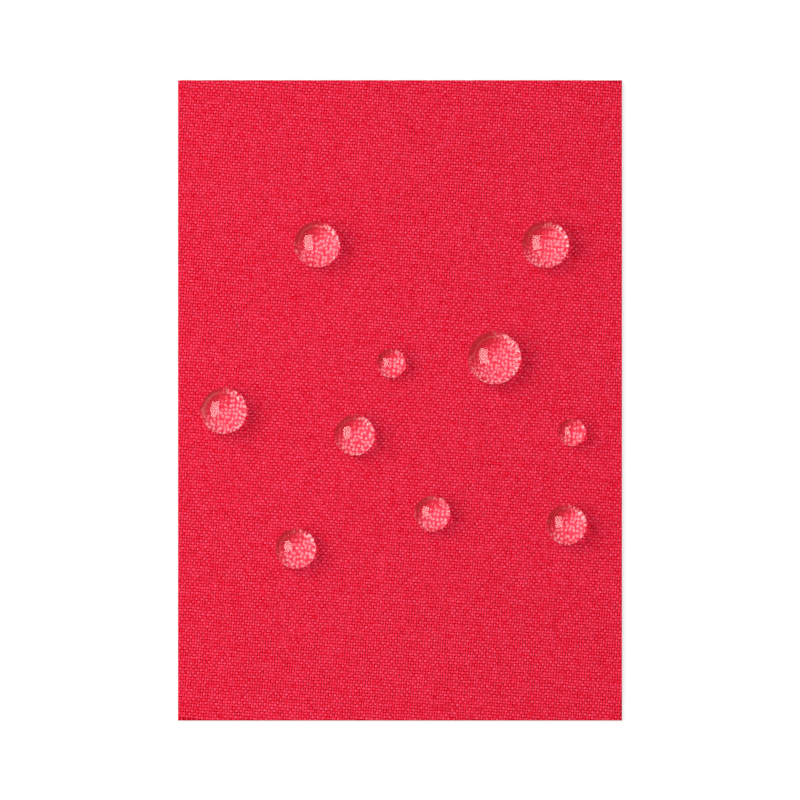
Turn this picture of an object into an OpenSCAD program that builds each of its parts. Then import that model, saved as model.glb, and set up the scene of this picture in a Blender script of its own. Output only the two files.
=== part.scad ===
// Flat panel of water-repellent plain-woven cloth with ten beads of water standing on it.
// Frame: +X along the short cut edge, +Y up the long cut edge, +Z out of the face of the cloth.
// The origin is on the underside of the coating, at the middle of the panel.

/* [Panel] */
// Width of the panel between its long cut edges
cloth_w = 44.4; // [36:0.2:60]
// Length of the panel between its short cut edges
cloth_l = 65.4; // [52:0.2:84]
// Angle by which the weave is turned clockwise from the cut edges
grain_turn = 4.5; // [1:0.5:10]

/* [Warp] */
// Spacing of the warp ends, which run the long way
warp_pitch = 0.256; // [0.2:0.002:0.36]
// Width of a warp end, pressed flat in the cloth
warp_w = 0.19; // [0.12:0.01:0.2]
// Thickness of a warp end, pressed flat in the cloth
warp_t = 0.14; // [0.1:0.01:0.24]

/* [Weft] */
// Spacing of the weft picks, which run the short way
weft_pitch = 0.3; // [0.24:0.002:0.4]
// Width of a weft pick, pressed flat in the cloth
weft_w = 0.23; // [0.14:0.01:0.23]
// Thickness of a weft pick, pressed flat in the cloth
weft_t = 0.16; // [0.1:0.01:0.24]

/* [Coating] */
// Thickness of the waterproof coating on the back
coating_t = 0.05; // [0.02:0.01:0.2]

/* [Water beads] */
// Angle inside the water between its skin and the cloth, over 90 where the cloth repels it
contact_angle = 120; // [100:5:150]
// Gap between the cloth and the foot of a bead
bead_gap = 0.01; // [0.005:0.005:0.05]
// Width of the bead at the upper left
upper_left_w = 4.6; // [1:0.05:6]
// Width of the bead at the upper right
upper_right_w = 4.7; // [1:0.05:6]
// Width of the small bead in the middle
middle_small_w = 2.95; // [1:0.05:6]
// Width of the large bead right of the middle
middle_large_w = 5.3; // [1:0.05:6]
// Width of the bead nearest the left edge
far_left_w = 4.65; // [1:0.05:6]
// Width of the bead left of the middle
middle_left_w = 4.1; // [1:0.05:6]
// Width of the small bead nearest the right edge
right_small_w = 2.75; // [1:0.05:6]
// Width of the bead below the middle
lower_middle_w = 3.6; // [1:0.05:6]
// Width of the bead at the lower right
lower_right_w = 4.05; // [1:0.05:6]
// Width of the bead at the lower left
lower_left_w = 4.05; // [1:0.05:6]

/* [Hidden] */

// The yarns lie in two flat layers on the coating, warp below and weft above.
warp_floor = coating_t;
weft_floor = warp_floor + warp_t;
cloth_top = weft_floor + weft_t;

// How far out from the middle the corners of the panel reach, square to each set of yarns.
warp_reach = cloth_w / 2 * cos(grain_turn) + cloth_l / 2 * sin(grain_turn);
weft_reach = cloth_l / 2 * cos(grain_turn) + cloth_w / 2 * sin(grain_turn);
// Longer than any yarn in the panel.
overlong = cloth_w + cloth_l;

// A water drop sags under its own weight once it is wider than about this length.
capillary_length = 2.71;
sag_shape = 5;
profile_steps = 20;
bead_facets = 96;

// One set of parallel yarns, trimmed to the panel. A yarn that only clips a corner is left out.
module yarns(pitch, width, thickness, reach, run_angle) {
    last = floor((reach - width) / pitch);
    linear_extrude(height = thickness)
        intersection() {
            square([cloth_w, cloth_l], center = true);
            rotate(run_angle - grain_turn)
                for (i = [-last : last])
                    translate([0, i * pitch])
                        square([overlong, width], center = true);
        }
}

module warp_yarns() {
    color([0.72, 0.09, 0.20])
        translate([0, 0, warp_floor])
            yarns(warp_pitch, warp_w, warp_t, warp_reach, 90);
}

module weft_yarns() {
    color([0.89, 0.15, 0.26])
        translate([0, 0, weft_floor])
            yarns(weft_pitch, weft_w, weft_t, weft_reach, 0);
}

module back_coating() {
    color([0.70, 0.20, 0.26])
        translate([-cloth_w / 2, -cloth_l / 2, 0])
            cube([cloth_w, cloth_l, coating_t]);
}

// A bead is an ellipse spun round its upright axis and cut flat at its foot, where the skin
// meets the cloth at the contact angle. Its place is a share of the way from the middle of the
// panel to the right edge, and to the upper edge.
module bead(width, share_x, share_y) {
    half_w = width / 2;
    half_h = half_w / (1 + pow(half_w / capillary_length, 2) / sag_shape);
    foot_angle = atan(half_h / half_w / tan(180 - contact_angle));
    rise = half_h * sin(foot_angle);
    skin = [
        for (step = [0 : profile_steps])
            let (a = -foot_angle + (90 + foot_angle) * step / profile_steps)
                [half_w * cos(a), half_h * sin(a) + rise]
    ];
    color([0.93, 0.60, 0.64])
        translate([share_x * cloth_w / 2, share_y * cloth_l / 2, cloth_top + bead_gap])
            rotate_extrude($fn = bead_facets)
                polygon(concat([[0, 0]], skin));
}

module bead_upper_left() { bead(upper_left_w, -0.375, 0.48); }
module bead_upper_right() { bead(upper_right_w, 0.655, 0.48); }
module bead_middle_small() { bead(middle_small_w, -0.04, 0.11); }
module bead_middle_large() { bead(middle_large_w, 0.425, 0.125); }
module bead_far_left() { bead(far_left_w, -0.795, -0.04); }
module bead_middle_left() { bead(middle_left_w, -0.205, -0.115); }
module bead_right_small() { bead(right_small_w, 0.775, -0.105); }
module bead_lower_middle() { bead(lower_middle_w, 0.145, -0.36); }
module bead_lower_right() { bead(lower_right_w, 0.75, -0.395); }
module bead_lower_left() { bead(lower_left_w, -0.47, -0.47); }

warp_yarns();
weft_yarns();
back_coating();
bead_upper_left();
bead_upper_right();
bead_middle_small();
bead_middle_large();
bead_far_left();
bead_middle_left();
bead_right_small();
bead_lower_middle();
bead_lower_right();
bead_lower_left();
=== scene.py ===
import math

import bpy
from mathutils import Matrix, Vector


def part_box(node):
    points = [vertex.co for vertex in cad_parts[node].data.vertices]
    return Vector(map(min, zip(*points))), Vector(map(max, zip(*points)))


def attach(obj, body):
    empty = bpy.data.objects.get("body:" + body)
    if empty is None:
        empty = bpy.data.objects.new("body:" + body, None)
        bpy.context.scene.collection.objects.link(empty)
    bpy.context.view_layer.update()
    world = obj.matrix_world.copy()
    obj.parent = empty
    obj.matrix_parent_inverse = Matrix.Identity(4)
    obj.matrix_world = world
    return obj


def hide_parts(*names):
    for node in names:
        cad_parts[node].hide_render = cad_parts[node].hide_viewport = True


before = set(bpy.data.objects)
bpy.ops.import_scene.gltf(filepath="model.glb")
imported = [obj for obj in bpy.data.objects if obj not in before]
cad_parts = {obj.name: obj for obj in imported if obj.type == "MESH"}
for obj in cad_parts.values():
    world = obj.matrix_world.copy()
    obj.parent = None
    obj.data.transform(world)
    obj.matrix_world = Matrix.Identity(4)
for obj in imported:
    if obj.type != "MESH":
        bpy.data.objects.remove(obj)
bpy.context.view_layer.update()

# The pieces are modelled in millimetres, and brought to metres when each one is finished.
mm = 0.001
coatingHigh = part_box("back_coating")[1]
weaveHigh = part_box("weft_yarns")[1]
clothTop = weaveHigh.z / mm
halfWidth = coatingHigh.x / mm
halfLength = coatingHigh.y / mm

# Camera
viewSetup = {
    "leanDeg": 12.0,  # how far the view leans from straight down, towards the near edge
    "widthShown": 0.08,  # metres across the picture
    "distance": 0.4,
}

lean = math.radians(viewSetup["leanDeg"])
towardsCamera = Vector((0, -math.sin(lean), math.cos(lean)))
lookAt = Vector((0, 0, weaveHigh.z))
bpy.ops.object.camera_add(location=lookAt + towardsCamera * viewSetup["distance"], rotation=(lean, 0, 0))
camera = bpy.context.object
camera.data.type = "ORTHO"
camera.data.ortho_scale = viewSetup["widthShown"]
bpy.context.scene.camera = camera


# Small helpers
def deselectAll():
    if bpy.context.object and bpy.context.object.mode != "OBJECT":
        bpy.ops.object.mode_set(mode="OBJECT")
    bpy.ops.object.select_all(action="DESELECT")


def editAll():
    bpy.ops.object.mode_set(mode="EDIT")
    bpy.ops.mesh.select_mode(type="VERT")
    bpy.ops.mesh.select_all(action="SELECT")


def selectWhere(piece, test):
    editAll()
    bpy.ops.mesh.select_all(action="DESELECT")
    bpy.ops.object.mode_set(mode="OBJECT")
    for vertex in piece.data.vertices:
        vertex.select = test(vertex)
    bpy.ops.object.mode_set(mode="EDIT")


def applyModifier(piece, kind, **settings):
    modifier = piece.modifiers.new(kind.lower(), kind)
    for name, value in settings.items():
        setattr(modifier, name, value)
    bpy.ops.object.modifier_apply(modifier=modifier.name)


def finishPiece(piece, body, material):
    piece.data.transform(Matrix.Scale(mm, 4))
    piece.data.materials.clear()
    piece.data.materials.append(material)
    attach(piece, body)
    return piece


# Materials
def linear(hexColour):
    parts = [int(hexColour[i : i + 2], 16) / 255 for i in (1, 3, 5)]
    return tuple(c / 12.92 if c <= 0.04045 else ((c + 0.055) / 1.055) ** 2.4 for c in parts) + (1.0,)


def addNode(tree, kind, inputs=None, **settings):
    node = tree.nodes.new(kind)
    for name, value in settings.items():
        setattr(node, name, value)
    for name, value in (inputs or {}).items():
        if isinstance(value, bpy.types.NodeSocket):
            tree.links.new(value, node.inputs[name])
        else:
            node.inputs[name].default_value = value
    return node


def newMaterial(name):
    material = bpy.data.materials.new(name)
    material.use_nodes = True
    material.node_tree.nodes.clear()
    return material, material.node_tree


grain = {
    "turnDeg": 4.5,  # the weave is turned this far clockwise from the cut edges
}


shading = {
    "depth": 0.09,  # painted shade: the colour darkens over this depth below the crowns
    "crownAt": 0.62,  # where a plain crown lies on the way from the painted valley shade to the crown colour
    "valleyUpTo": 0.34,  # all below this has the full painted shade of the valley colour
    "streaks": 0.5,
    "slubs": 0.75,
    "tone": 0.15,
}


# Dyed polyester filament yarn, textured and woven, with soft streaks along it and slubs here and there.
# Its red is painted with shade: bright where a yarn crowns, deeper where it goes down between its neighbours.
def yarnMaterial(name, crown, valleyShade, alongX):
    material, tree = newMaterial(name)
    place = addNode(tree, "ShaderNodeTexCoord")
    turned = addNode(
        tree, "ShaderNodeMapping",
        {"Vector": place.outputs["Object"], "Rotation": (0, 0, math.radians(grain["turnDeg"]))},
    )

    def stretchedNoise(along, across, detail):
        alongScale, acrossScale = 1 / (along * mm), 1 / (across * mm)
        scale = (alongScale, acrossScale, acrossScale) if alongX else (acrossScale, alongScale, acrossScale)
        stretched = addNode(tree, "ShaderNodeMapping", {"Vector": turned.outputs["Vector"], "Scale": scale})
        return addNode(
            tree, "ShaderNodeTexNoise", {"Vector": stretched.outputs["Vector"], "Scale": 1, "Detail": detail}
        ).outputs["Fac"]

    streaks = stretchedNoise(0.9, 0.06, 2)  # a few filaments wide
    slubs = stretchedNoise(0.5, 0.25, 1)  # about as long as a float
    tone = stretchedNoise(14, 0.4, 1)  # one yarn wide, and as long as a change of tone
    height = addNode(tree, "ShaderNodeSeparateXYZ", {"Vector": place.outputs["Object"]})
    # painted shade: the lower a yarn lies below the crowns, the deeper its red
    depth = addNode(
        tree, "ShaderNodeMapRange",
        {
            "Value": height.outputs["Z"],
            "From Min": (clothTop - shading["depth"]) * mm, "From Max": clothTop * mm,
            "To Min": 0, "To Max": shading["crownAt"],
        },
    )
    blend = depth.outputs["Result"]
    for noise, share in ((streaks, shading["streaks"]), (slubs, shading["slubs"]), (tone, shading["tone"])):
        centred = addNode(
            tree, "ShaderNodeMath", {0: noise, 1: share, 2: -share / 2}, operation="MULTIPLY_ADD"
        )
        blend = addNode(tree, "ShaderNodeMath", {0: blend, 1: centred.outputs[0]}, operation="ADD").outputs[0]
    ramp = addNode(tree, "ShaderNodeValToRGB", {"Fac": blend})
    ramp.color_ramp.elements[0].position = shading["valleyUpTo"]
    ramp.color_ramp.elements[0].color = linear(valleyShade)
    ramp.color_ramp.elements[1].position = 1.0
    ramp.color_ramp.elements[1].color = linear(crown)
    bump = addNode(tree, "ShaderNodeBump", {"Height": streaks, "Strength": 0.8, "Distance": 0.02 * mm})
    shader = addNode(
        tree, "ShaderNodeBsdfPrincipled",
        {
            "Base Color": ramp.outputs["Color"], "Normal": bump.outputs["Normal"], "Roughness": 0.65,
            "Specular IOR Level": 0.03,
        },
    )
    addNode(tree, "ShaderNodeOutputMaterial", {"Surface": shader.outputs[0]})
    return material


# Polyurethane, cast as a thin film on the back of the cloth: smooth, satin, deeper than the yarns.
def filmMaterial():
    material, tree = newMaterial("castPolyurethaneFilm")
    place = addNode(tree, "ShaderNodeTexCoord")
    mottle = addNode(
        tree, "ShaderNodeTexNoise", {"Vector": place.outputs["Object"], "Scale": 1 / (1.5 * mm), "Detail": 3}
    )
    ramp = addNode(tree, "ShaderNodeValToRGB", {"Fac": mottle.outputs["Fac"]})
    ramp.color_ramp.elements[0].color = linear("#dc1038")
    ramp.color_ramp.elements[1].color = linear("#e41c40")
    shader = addNode(
        tree, "ShaderNodeBsdfPrincipled", {"Base Color": ramp.outputs["Color"], "Roughness": 0.45}
    )
    addNode(tree, "ShaderNodeOutputMaterial", {"Surface": shader.outputs[0]})
    return material


footPrintAndPaintedLight = {
    "across": 0.256,  # from one crown to the next, as in the weave
    "along": 0.30,
    "height": 0.04,  # the foot reaches this far above the cloth
    "crown": 1.0,  # painted reflection: how pale the foot is at a crown
    "between": 0.36,
    "speckle": 0.13,  # size of the uneven patches in it
    "shadeEnds": -0.42,  # painted light and shade across the drop: from the side painted in shade to the side painted as lit
    "litFrom": -0.02,
    "shade": 0.03,
    "rimFrom": 0.29,  # painted glints start this far from the middle of the drop, as a share of its width
    "rimSoft": 0.02,
    "glint": 0.55,  # how white a painted glint is
}


# Clean water: no colour of its own and a sharp gloss. Its foot sits on the crowns of the yarns and shows
# the cloth under it, magnified, with painted light and pale painted reflections where the drop gathers the
# light, painted shade on the far side, and red between.
def waterMaterial():
    material, tree = newMaterial("clearWater")
    place = addNode(tree, "ShaderNodeTexCoord")
    height = addNode(tree, "ShaderNodeSeparateXYZ", {"Vector": place.outputs["Object"]})
    foot = addNode(
        tree, "ShaderNodeMath", {0: height.outputs["Z"], 1: (clothTop + footPrintAndPaintedLight["height"]) * mm},
        operation="LESS_THAN",
    )
    turned = addNode(
        tree, "ShaderNodeMapping",
        {
            "Vector": place.outputs["Object"], "Rotation": (0, 0, math.radians(grain["turnDeg"])),
            "Scale": (1 / (footPrintAndPaintedLight["across"] * mm), 1 / (footPrintAndPaintedLight["along"] * mm), 1 / mm),
        },
    )
    crowns = addNode(
        tree, "ShaderNodeTexVoronoi", {"Vector": turned.outputs["Vector"], "Scale": 1, "Randomness": 0.55},
        voronoi_dimensions="2D",
    )
    # painted reflection: the crowns pale, as if the air trapped under the drop shone there
    paintedLightLevel = addNode(
        tree, "ShaderNodeMapRange",
        {
            "Value": crowns.outputs["Distance"], "From Min": 0.15, "From Max": 0.47,
            "To Min": footPrintAndPaintedLight["crown"], "To Max": footPrintAndPaintedLight["between"],
        },
    )
    ownPlace = addNode(tree, "ShaderNodeSeparateXYZ", {"Vector": place.outputs["Generated"]})
    farSide = addNode(
        tree, "ShaderNodeMath", {0: ownPlace.outputs["X"], 1: ownPlace.outputs["Y"]}, operation="SUBTRACT"
    )
    # painted light and shade: one side of each foot painted as lit by the light the drop gathers, the other
    # painted in shade
    paintedLightPool = addNode(
        tree, "ShaderNodeMapRange",
        {
            "Value": farSide.outputs[0], "From Min": footPrintAndPaintedLight["shadeEnds"], "From Max": footPrintAndPaintedLight["litFrom"],
            "To Min": footPrintAndPaintedLight["shade"], "To Max": 1,
        },
    )
    speckle = addNode(
        tree, "ShaderNodeTexNoise",
        {"Vector": place.outputs["Object"], "Scale": 1 / (footPrintAndPaintedLight["speckle"] * mm)},
    )
    uneven = addNode(
        tree, "ShaderNodeMapRange",
        {"Value": speckle.outputs["Fac"], "From Min": 0.38, "From Max": 0.62, "To Min": 0.6, "To Max": 1.15},
    )
    paintedLightLevel = addNode(
        tree, "ShaderNodeMath", {0: paintedLightLevel.outputs["Result"], 1: paintedLightPool.outputs["Result"]},
        operation="MULTIPLY",
    )
    paintedLightLevel = addNode(
        tree, "ShaderNodeMath", {0: paintedLightLevel.outputs[0], 1: uneven.outputs["Result"]}, operation="MULTIPLY"
    )
    # the foot's colour: painted shade at the low end, the cloth's red in the middle, painted pale reflection
    # and light at the high end
    cloth = addNode(tree, "ShaderNodeValToRGB", {"Fac": paintedLightLevel.outputs[0]})
    cloth.color_ramp.elements[0].color = linear("#c40018")
    cloth.color_ramp.elements[1].color = linear("#ff98a4")
    cloth.color_ramp.elements.new(0.3).color = linear("#ee1a40")
    # painted glints round the rim, on the side painted as lit
    fromMiddle = addNode(
        tree, "ShaderNodeVectorMath", {0: place.outputs["Generated"], 1: (0.5, 0.5, 0)}, operation="DISTANCE"
    )
    rim = addNode(
        tree, "ShaderNodeMapRange",
        {
            "Value": fromMiddle.outputs["Value"],
            "From Min": footPrintAndPaintedLight["rimFrom"], "From Max": footPrintAndPaintedLight["rimFrom"] + footPrintAndPaintedLight["rimSoft"],
        },
    )
    bright = addNode(
        tree, "ShaderNodeMapRange",
        {"Value": speckle.outputs["Fac"], "From Min": 0.53, "From Max": 0.6, "To Max": footPrintAndPaintedLight["glint"]},
    )
    glint = addNode(
        tree, "ShaderNodeMath", {0: rim.outputs["Result"], 1: bright.outputs["Result"]}, operation="MULTIPLY"
    )
    glint = addNode(
        tree, "ShaderNodeMath", {0: glint.outputs[0], 1: paintedLightPool.outputs["Result"]}, operation="MULTIPLY"
    )
    cloth = addNode(
        tree, "ShaderNodeMix", {"Factor": glint.outputs[0], 6: cloth.outputs["Color"], 7: linear("#fff0f0")},
        data_type="RGBA",
    )
    tint = addNode(
        tree, "ShaderNodeMix", {"Factor": foot.outputs[0], 6: (1, 1, 1, 1), 7: cloth.outputs[2]},
        data_type="RGBA",
    )
    clear = addNode(tree, "ShaderNodeMath", {0: 1, 1: foot.outputs[0]}, operation="SUBTRACT")
    rough = addNode(tree, "ShaderNodeMath", {0: foot.outputs[0], 1: 0.8}, operation="MULTIPLY")
    shader = addNode(
        tree, "ShaderNodeBsdfPrincipled",
        {
            "Base Color": tint.outputs[2], "Roughness": rough.outputs[0],
            "Transmission Weight": clear.outputs[0], "IOR": 1.333, "Specular IOR Level": 0.8,
        },
    )
    addNode(tree, "ShaderNodeOutputMaterial", {"Surface": shader.outputs[0]})
    return material


# the warp is the same yarn as the weft, painted a little darker as painted shade, so its floats read darker
# than the weft floats
weftMaterial = yarnMaterial("wovenPolyesterWeft", "#ff5c82", "#e20023", True)
shadedWarpMaterial = yarnMaterial("wovenPolyesterWarpShaded", "#f24268", "#d60021", False)
filmLook = filmMaterial()
waterLook = waterMaterial()
print("materials made")


# Woven yarns
weave = {
    "warpPitch": 0.256,
    "weftPitch": 0.30,
    "depth": clothTop - coatingHigh.z / mm,
    "wander": 0.06,  # how far the yarns drift from their grid
    "wanderSize": 1.8,
}
weft = {
    "width": 0.282,
    "thickness": 0.15,
    "swing": 0.075,  # how far the yarn rises and dips from the middle of the cloth
    "floatHalf": 0.11,  # half the flat top of a float
    "dipHalf": 0.05,
    "firstFloat": 0.0,
    "bands": 6,
}
warp = {
    "width": 0.244,
    "thickness": 0.15,
    "swing": 0.065,
    "floatHalf": 0.11,
    "dipHalf": 0.05,
    "firstFloat": weave["weftPitch"],  # a warp yarn comes up where the weft goes down
    "bands": 6,
}

turn = math.radians(grain["turnDeg"])
midHeight = coatingHigh.z / mm + weave["depth"] / 2


def makeNoise(name, size):
    texture = bpy.data.textures.new(name, "CLOUDS")
    texture.noise_scale = size
    texture.noise_depth = 2
    return texture


driftAcross = makeNoise("driftAcross", weave["wanderSize"])
driftAlong = makeNoise("driftAlong", weave["wanderSize"] * 1.3)


# One stretch of yarn, from one dip to the next, lies along X. Copies end to end make a yarn, and
# the next yarn is the same one moved on by half a repeat, so that it rises where this one dips.
def makeBand(name, yarn, repeat, pitch, first, count, reach):
    deselectAll()
    bpy.ops.mesh.primitive_cylinder_add(
        vertices=5, radius=1, depth=1, end_fill_type="NOTHING", rotation=(-math.pi / 2, 0, math.pi / 2)
    )
    band = bpy.context.object
    band.name = name
    bpy.ops.object.transform_apply(location=True, rotation=True, scale=True)
    # a five-sided section with its flat side up, as wide and as thick as the pressed yarn
    across, up = math.sin(math.radians(72)), 1 + math.cos(math.radians(36))
    editAll()
    bpy.ops.transform.resize(
        value=(repeat, yarn["width"] / 2 / across, yarn["thickness"] / up), center_override=(0, 0, 0)
    )
    bpy.ops.transform.translate(value=(0, 0, yarn["thickness"] / up - yarn["thickness"] / 2))
    # rings at the ends of the flat top and of the dip
    dipEnd, floatEnd = repeat / 2 - yarn["dipHalf"], yarn["floatHalf"]
    for x in (-dipEnd, -floatEnd, floatEnd, dipEnd):
        bpy.ops.mesh.select_all(action="SELECT")
        bpy.ops.mesh.bisect(plane_co=(x, 0, 0), plane_no=(1, 0, 0))
    near = yarn["floatHalf"] + 0.001
    selectWhere(band, lambda v: abs(v.co.x) < near)
    bpy.ops.transform.translate(value=(0, 0, 2 * yarn["swing"]))
    bpy.ops.mesh.select_all(action="SELECT")
    start = yarn["firstFloat"] - math.ceil(reach / repeat) * repeat
    bpy.ops.transform.translate(value=(start, first * pitch, midHeight - yarn["swing"]))
    bpy.ops.object.mode_set(mode="OBJECT")
    repeats = 2 * math.ceil(reach / repeat) + 1
    applyModifier(
        band, "ARRAY", count=repeats, use_relative_offset=False, use_constant_offset=True,
        constant_offset_displace=(repeat, 0, 0), use_merge_vertices=True, merge_threshold=0.001,
    )
    if first % 2:
        editAll()
        bpy.ops.transform.translate(value=(repeat / 2, 0, 0))
        bpy.ops.object.mode_set(mode="OBJECT")
    step = -repeat / 2 if first % 2 else repeat / 2
    applyModifier(
        band, "ARRAY", count=2, use_relative_offset=False, use_constant_offset=True,
        constant_offset_displace=(step, pitch, 0),
    )
    applyModifier(
        band, "ARRAY", count=math.ceil(count / 2), use_relative_offset=False, use_constant_offset=True,
        constant_offset_displace=(0, 2 * pitch, 0),
    )
    if count % 2:  # the last pair has one yarn too many
        over = (first + count - 0.5) * pitch
        selectWhere(band, lambda v: v.co.y > over)
        bpy.ops.mesh.delete(type="VERT")
        bpy.ops.object.mode_set(mode="OBJECT")
    return band


def layBand(band):
    # the grain is already turned; wander first, then the four cuts
    for texture, direction in ((driftAcross, "X"), (driftAlong, "Y")):
        applyModifier(
            band, "DISPLACE", texture=texture, direction=direction, strength=weave["wander"] * 2,
            mid_level=0.5,
        )
    editAll()
    for normal, reach in (((1, 0, 0), halfWidth), ((0, 1, 0), halfLength)):
        for side in (1, -1):
            bpy.ops.mesh.select_all(action="SELECT")
            bpy.ops.mesh.bisect(
                plane_co=[side * n * reach for n in normal], plane_no=[side * n for n in normal],
                use_fill=True, clear_outer=True,
            )
    bpy.ops.mesh.select_all(action="SELECT")
    bpy.ops.mesh.normals_make_consistent(inside=False)
    bpy.ops.object.mode_set(mode="OBJECT")
    bpy.ops.object.shade_smooth()
    return band


def makeYarns(label, yarn, repeat, pitch, reachAlong, reachAcross, quarterTurn, material):
    last = math.floor((reachAcross - yarn["width"]) / pitch)
    total = 2 * last + 1
    perBand = math.ceil(total / yarn["bands"])
    made = []
    for number in range(yarn["bands"]):
        first = -last + number * perBand
        count = min(perBand, last - first + 1)
        band = makeBand(f"{label}{number + 1}", yarn, repeat, pitch, first, count, reachAlong)
        angle = math.pi / 2 - turn if quarterTurn else -turn
        band.data.transform(Matrix.Rotation(angle, 4, "Z"))
        layBand(band)
        finishPiece(band, "cloth", material)
        made.append(band)
        print(band.name, "picks", first, "to", first + count - 1, "faces", len(band.data.polygons))
    return made


reachX = halfWidth * math.cos(turn) + halfLength * math.sin(turn)
reachY = halfLength * math.cos(turn) + halfWidth * math.sin(turn)
warpPitch, weftPitch = weave["warpPitch"], weave["weftPitch"]
weftBands = makeYarns("weftYarns", weft, 2 * warpPitch, weftPitch, reachX, reachY, False, weftMaterial)
warpBands = makeYarns("warpYarns", warp, 2 * weftPitch, warpPitch, reachY, reachX, True, shadedWarpMaterial)
for band in weftBands:
    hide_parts("weft_yarns")
for band in warpBands:
    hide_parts("warp_yarns")
print("weave made")

# Back coating
deselectAll()
bpy.ops.mesh.primitive_grid_add(x_subdivisions=44, y_subdivisions=65, size=1, location=(0, 0, 0))
film = bpy.context.object
film.name = "backCoating"
editAll()
bpy.ops.transform.resize(value=(2 * halfWidth, 2 * halfLength, 1), center_override=(0, 0, 0))
bpy.ops.object.mode_set(mode="OBJECT")
applyModifier(film, "SOLIDIFY", thickness=coatingHigh.z / mm, offset=1)
finishPiece(film, "cloth", filmLook)
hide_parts("back_coating")
print("coating made")

# Water beads
water = {
    "segments": 96,
    "rings": 48,
    "capillaryLength": 2.71,  # a drop sags under its own weight once it is wider than this
    "sagShape": 5,
    "uneven": 0.1,  # a drop on cloth isn't quite round
    "unevenSize": 2.2,
}
unevenness = makeNoise("unevenness", water["unevenSize"])


def makeBead(node):
    low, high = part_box(node)
    centre = (low + high) / 2 / mm
    halfW = (high.x - low.x) / 2 / mm
    halfH = halfW / (1 + (halfW / water["capillaryLength"]) ** 2 / water["sagShape"])
    middle = high.z / mm - halfH
    foot = low.z / mm
    deselectAll()
    bpy.ops.mesh.primitive_uv_sphere_add(segments=water["segments"], ring_count=water["rings"], radius=1)
    bead = bpy.context.object
    bead.name = node.replace("bead_", "water_")
    editAll()
    bpy.ops.transform.resize(value=(halfW, halfW, halfH), center_override=(0, 0, 0))
    bpy.ops.transform.translate(value=(centre.x, centre.y, middle))
    bpy.ops.object.mode_set(mode="OBJECT")
    applyModifier(
        bead, "DISPLACE", texture=unevenness, direction="NORMAL", strength=water["uneven"], mid_level=0.5
    )
    editAll()
    bpy.ops.mesh.bisect(plane_co=(0, 0, foot), plane_no=(0, 0, -1), use_fill=True, clear_outer=True)
    bpy.ops.mesh.select_all(action="SELECT")
    bpy.ops.mesh.normals_make_consistent(inside=False)
    bpy.ops.object.mode_set(mode="OBJECT")
    bpy.ops.object.shade_smooth_by_angle(angle=math.radians(40))
    finishPiece(bead, node, waterLook)
    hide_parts(node)
    return bead


for node in sorted(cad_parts):
    if node.startswith("bead_"):
        makeBead(node)
print("beads made")

# Floor and light
lighting = {
    "keyDirection": (-0.665, 0.088, 0.742),  # from the left, a little from above
    "keyDistance": 0.5,
    "keyWidth": 0.364,
    "keyHeight": 0.577,
    "keyPower": 3.2,
    "glossPower": 6.5,  # the same softbox as the water mirrors it
    "fill": 0.45,
    "ceiling": 0.08,  # how bright the ceiling looks in the water
}


# The white surroundings show directly, as a mirror image and through the water, and light nothing.
def shownRays(tree):
    path = addNode(tree, "ShaderNodeLightPath")
    mirrored = addNode(
        tree, "ShaderNodeMath", {0: path.outputs["Is Glossy Ray"], 1: path.outputs["Is Transmission Ray"]},
        operation="MAXIMUM",
    )
    either = addNode(
        tree, "ShaderNodeMath", {0: path.outputs["Is Camera Ray"], 1: mirrored.outputs[0]},
        operation="MAXIMUM",
    )
    soon = addNode(tree, "ShaderNodeMath", {0: path.outputs["Ray Depth"], 1: 2.5}, operation="LESS_THAN")
    unlit = addNode(tree, "ShaderNodeMath", {0: path.outputs["Diffuse Depth"], 1: 0.5}, operation="LESS_THAN")
    shown = addNode(tree, "ShaderNodeMath", {0: either.outputs[0], 1: unlit.outputs[0]}, operation="MULTIPLY")
    return shown.outputs[0], soon.outputs[0]


deselectAll()
bpy.ops.mesh.primitive_plane_add(size=4, location=(0, 0, -0.00002))
floor = bpy.context.object
floor.name = "floor"
material, tree = newMaterial("matteWhitePaper")
shown, soon = shownRays(tree)
paper = addNode(tree, "ShaderNodeBsdfDiffuse", {"Color": linear("#f4f4f4")})
glow = addNode(tree, "ShaderNodeEmission", {"Color": (1, 1, 1, 1), "Strength": 1.05})
shownSoon = addNode(tree, "ShaderNodeMath", {0: shown, 1: soon}, operation="MULTIPLY")
share = addNode(tree, "ShaderNodeMath", {0: shownSoon.outputs[0], 1: 0.7}, operation="MULTIPLY")
mix = addNode(tree, "ShaderNodeMixShader", {0: share.outputs[0], 1: paper.outputs[0], 2: glow.outputs[0]})
addNode(tree, "ShaderNodeOutputMaterial", {"Surface": mix.outputs[0]})
floor.data.materials.append(material)

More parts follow.
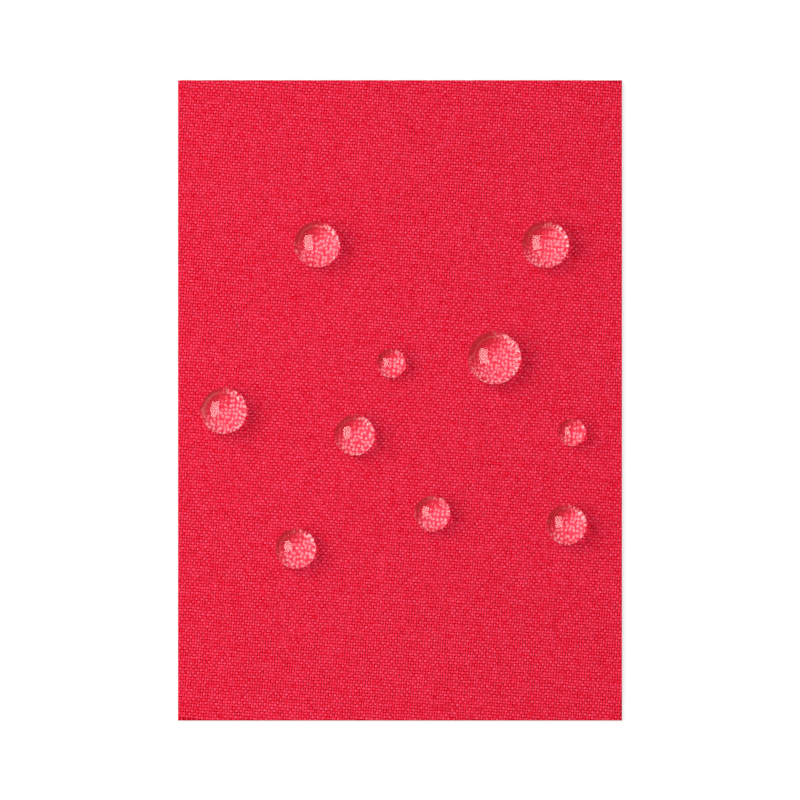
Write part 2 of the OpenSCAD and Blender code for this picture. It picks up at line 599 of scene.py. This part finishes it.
world = bpy.data.worlds.new("studio")
bpy.context.scene.world = world
world.use_nodes = True
tree = world.node_tree
tree.nodes.clear()
fillLight = addNode(tree, "ShaderNodeBackground", {"Color": (1, 1, 1, 1), "Strength": lighting["fill"]})
shown, soon = shownRays(tree)
direction = addNode(tree, "ShaderNodeTexCoord")
heading = addNode(tree, "ShaderNodeSeparateXYZ", {"Vector": direction.outputs["Generated"]})
horizon = addNode(  # low white walls all round, and a dim ceiling above them
    tree, "ShaderNodeMapRange",
    {
        "Value": heading.outputs["Z"], "From Min": 0.02, "From Max": 0.12,
        "To Min": 1 - lighting["ceiling"], "To Max": 0,
    },
)
level = addNode(
    tree, "ShaderNodeMath", {0: horizon.outputs["Result"], 1: soon, 2: lighting["ceiling"]},
    operation="MULTIPLY_ADD",
)
cameraRay = addNode(tree, "ShaderNodeLightPath").outputs["Is Camera Ray"]
level = addNode(tree, "ShaderNodeMath", {0: level.outputs[0], 1: cameraRay}, operation="MAXIMUM")
walls = addNode(tree, "ShaderNodeBackground", {"Color": (1, 1, 1, 1), "Strength": level.outputs[0]})
mix = addNode(tree, "ShaderNodeMixShader", {0: shown, 1: fillLight.outputs[0], 2: walls.outputs[0]})
addNode(tree, "ShaderNodeOutputWorld", {"Surface": mix.outputs[0]})

keyFrom = Vector(lighting["keyDirection"]).normalized()
side = Vector((0, 1, 0)).cross(keyFrom).normalized()
up = keyFrom.cross(side)  # the long side of the softbox stays level with the long side of the cloth
turned = Matrix(((side.x, up.x, keyFrom.x), (side.y, up.y, keyFrom.y), (side.z, up.z, keyFrom.z)))
for name, power in (("softbox", lighting["keyPower"]), ("softboxGloss", lighting["glossPower"])):
    deselectAll()
    bpy.ops.object.light_add(type="AREA")
    lamp = bpy.context.object
    lamp.name = name
    lamp.data.shape = "RECTANGLE"
    lamp.data.size = lighting["keyWidth"]
    lamp.data.size_y = lighting["keyHeight"]
    lamp.data.energy = power
    gloss = name == "softboxGloss"
    distance = lighting["keyDistance"] + (0.001 if gloss else 0)  # two lamps in one place hide each other
    lamp.matrix_world = Matrix.Translation(lookAt + keyFrom * distance) @ turned.to_4x4()
    lamp.visible_glossy = gloss
    lamp.visible_diffuse = not gloss
    lamp.visible_transmission = not gloss

bpy.context.scene.view_settings.view_transform = "Standard"
print("floor and light set")
